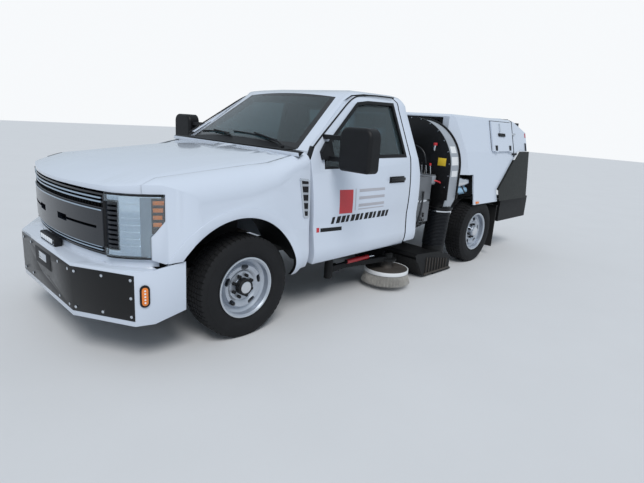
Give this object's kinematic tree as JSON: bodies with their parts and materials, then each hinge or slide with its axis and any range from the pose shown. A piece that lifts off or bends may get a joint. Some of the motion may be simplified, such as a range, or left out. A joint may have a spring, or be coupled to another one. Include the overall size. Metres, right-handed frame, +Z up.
{
  "type": "street sweeper truck",
  "caption": "Pickup-chassis street sweeper with blower, pickup head, side broom and tilting hopper; wheels, steering, doors, hood and hopper move.",
  "frame": {"origin": "on the ground, midway between the front and rear ends, on the centre plane", "axes": "+X forward, +Y to the driver's left, +Z up"},
  "size_m": [6.19, 2.88, 1.9449],
  "materials": {
    "body_paint": "gloss white enamel",
    "chassis_black": "satin black",
    "black_gloss": "gloss black",
    "black_plastic": "grained",
    "grille_plastic": "dark grey, semi-gloss",
    "lamp_lens": "clear lens over a bright reflector",
    "amber_lens": "moulded amber lens",
    "red_lens": "moulded red lens",
    "window_glass": "green tinted",
    "tyre_rubber": "matte with tread",
    "rim_silver": "silver wheel enamel",
    "cast_steel": "raw, lightly rusted",
    "steel_rod": "polished rod",
    "seat_cloth": "grey woven cloth",
    "hose_rubber": "ribbed, matte",
    "bristle": "stiff bristle",
    "tank_grey": "grey enamel",
    "flap_rubber": "matte sheet"
  },
  "bodies": {
    "chassis": {"frame": "chassis_black", "engine_block": "cast_steel", "front_axle": "cast_steel", "rear_axle": "cast_steel", "fuel_tank": "black_plastic", "exhaust": "cast_steel", "cab_shell": "body_paint", "windshield": "window_glass", "rear_window": "window_glass", "seats": "seat_cloth", "dashboard": "black_plastic", "steering_wheel": "black_plastic", "fender_left": "body_paint", "fender_right": "body_paint", "grille": "grille_plastic", "radiator": "cast_steel", "headlamp_left": "lamp_lens", "headlamp_right": "lamp_lens", "front_bumper": "body_paint", "bumper_skin": "black_gloss", "front_lamps": "amber_lens", "blower_housing": "black_gloss", "intake_duct": "black_gloss", "rear_bumper": "chassis_black", "tail_lamps": "red_lens", "mudflaps": "flap_rubber", "hydraulic_tank": "tank_grey", "valve_block": "tank_grey"},
    "hood": {"hood": "body_paint"},
    "door_left": {"door_left": "body_paint", "door_glass_left": "window_glass", "mirror_left": "black_plastic"},
    "door_right": {"door_right": "body_paint", "door_glass_right": "window_glass", "mirror_right": "black_plastic"},
    "knuckle_left": {"knuckle_left": "cast_steel"},
    "knuckle_right": {"knuckle_right": "cast_steel"},
    "wheel_front_left": {"rim_front_left": "rim_silver", "tyre_front_left": "tyre_rubber"},
    "wheel_front_right": {"rim_front_right": "rim_silver", "tyre_front_right": "tyre_rubber"},
    "wheel_rear_left": {"rim_rear_left": "rim_silver", "tyre_rear_left": "tyre_rubber"},
    "wheel_rear_right": {"rim_rear_right": "rim_silver", "tyre_rear_right": "tyre_rubber"},
    "hopper": {"hopper": "body_paint", "hopper_floor": "chassis_black", "hopper_screen": "chassis_black", "side_fairings": "black_gloss"},
    "access_door": {"access_door": "body_paint"},
    "tailgate": {"tailgate": "body_paint"},
    "lift_barrel": {"lift_barrel": "chassis_black"},
    "lift_rod": {"lift_rod": "steel_rod"},
    "pickup_head": {"pickup_head": "chassis_black", "pressure_hose": "hose_rubber", "suction_hose": "hose_rubber"},
    "broom_bracket": {"broom_bracket": "chassis_black"},
    "broom_arm": {"broom_arm": "chassis_black"},
    "broom": {"broom": "bristle"}
  },
  "joints": [
    {"name": "hood_hinge", "type": "hinge", "parent": "chassis", "child": "hood", "pos_m": [1.544, 0, 1.386], "axis": [0, -1, 0], "range_deg": [0, 48]},
    {"name": "door_left_hinge", "type": "hinge", "parent": "chassis", "child": "door_left", "pos_m": [1.424, 1.0215, 0.9], "axis": [0, 0, -1], "range_deg": [0, 65]},
    {"name": "door_right_hinge", "type": "hinge", "parent": "chassis", "child": "door_right", "pos_m": [1.424, -1.0215, 0.9], "axis": [0, 0, 1], "range_deg": [0, 65]},
    {"name": "steering_left", "type": "hinge", "parent": "chassis", "child": "knuckle_left", "pos_m": [2.01, 0.75, 0.394], "axis": [0, 0, 1], "range_deg": [-32, 32]},
    {"name": "steering_right", "type": "hinge", "parent": "chassis", "child": "knuckle_right", "pos_m": [2.01, -0.75, 0.394], "axis": [0, 0, 1], "range_deg": [-32, 32]},
    {"name": "spin_front_left", "type": "hinge", "parent": "knuckle_left", "child": "wheel_front_left", "pos_m": [2.01, 0.8675, 0.394], "axis": [0, 1, 0], "continuous": true},
    {"name": "spin_front_right", "type": "hinge", "parent": "knuckle_right", "child": "wheel_front_right", "pos_m": [2.01, -0.8675, 0.394], "axis": [0, 1, 0], "continuous": true},
    {"name": "spin_rear_left", "type": "hinge", "parent": "chassis", "child": "wheel_rear_left", "pos_m": [-1.587, 0.8535, 0.394], "axis": [0, 1, 0], "continuous": true},
    {"name": "spin_rear_right", "type": "hinge", "parent": "chassis", "child": "wheel_rear_right", "pos_m": [-1.587, -0.8535, 0.394], "axis": [0, 1, 0], "continuous": true},
    {"name": "hopper_tilt", "type": "hinge", "parent": "chassis", "child": "hopper", "pos_m": [-2.55, 0, 0.754], "axis": [0, -1, 0], "range_deg": [0, 50]},
    {"name": "tailgate_hinge", "type": "hinge", "parent": "hopper", "child": "tailgate", "pos_m": [-2.49, 0, 1.812], "axis": [0, 1, 0], "range_deg": [0, 75]},
    {"name": "access_door_hinge", "type": "hinge", "parent": "hopper", "child": "access_door", "pos_m": [-2.135, 0.9245, 1.3965], "axis": [-1, 0, 0], "range_deg": [0, 110]},
    {"name": "lift_barrel_pin", "type": "hinge", "parent": "chassis", "child": "lift_barrel", "pos_m": [-0.34, -0.2, 0.62], "axis": [0, 1, 0], "range_deg": [0, 22.34]},
    {"name": "lift_stroke", "type": "slide", "parent": "lift_barrel", "child": "lift_rod", "axis": [-0.9806, 0, 0.1961], "range_m": [0, 0.7551]},
    {"name": "head_lift", "type": "slide", "parent": "chassis", "child": "pickup_head", "axis": [0, 0, 1], "range_m": [0, 0.1], "deforming": ["pressure_hose", "suction_hose"]},
    {"name": "broom_swing", "type": "hinge", "parent": "chassis", "child": "broom_bracket", "pos_m": [0.93, 0.79, 0.4], "axis": [0, 0, -1], "range_deg": [0, 25]},
    {"name": "broom_lift", "type": "hinge", "parent": "broom_bracket", "child": "broom_arm", "pos_m": [0.835, 0.79, 0.3], "axis": [0, 1, 0], "range_deg": [-2.4, 7]},
    {"name": "broom_spin", "type": "hinge", "parent": "broom_arm", "child": "broom", "pos_m": [0.12, 0.866, 0.15], "axis": [0, 0, 1], "continuous": true}
  ],
  "couplings": [
    {"joint": "steering_right", "follows": "steering_left", "ratio": 1},
    {"joint": "lift_barrel_pin", "follows": "hopper_tilt", "ratio": 0.44659},
    {"joint": "lift_stroke", "follows": "hopper_tilt", "m_per_rad": 0.86501}
  ]
}
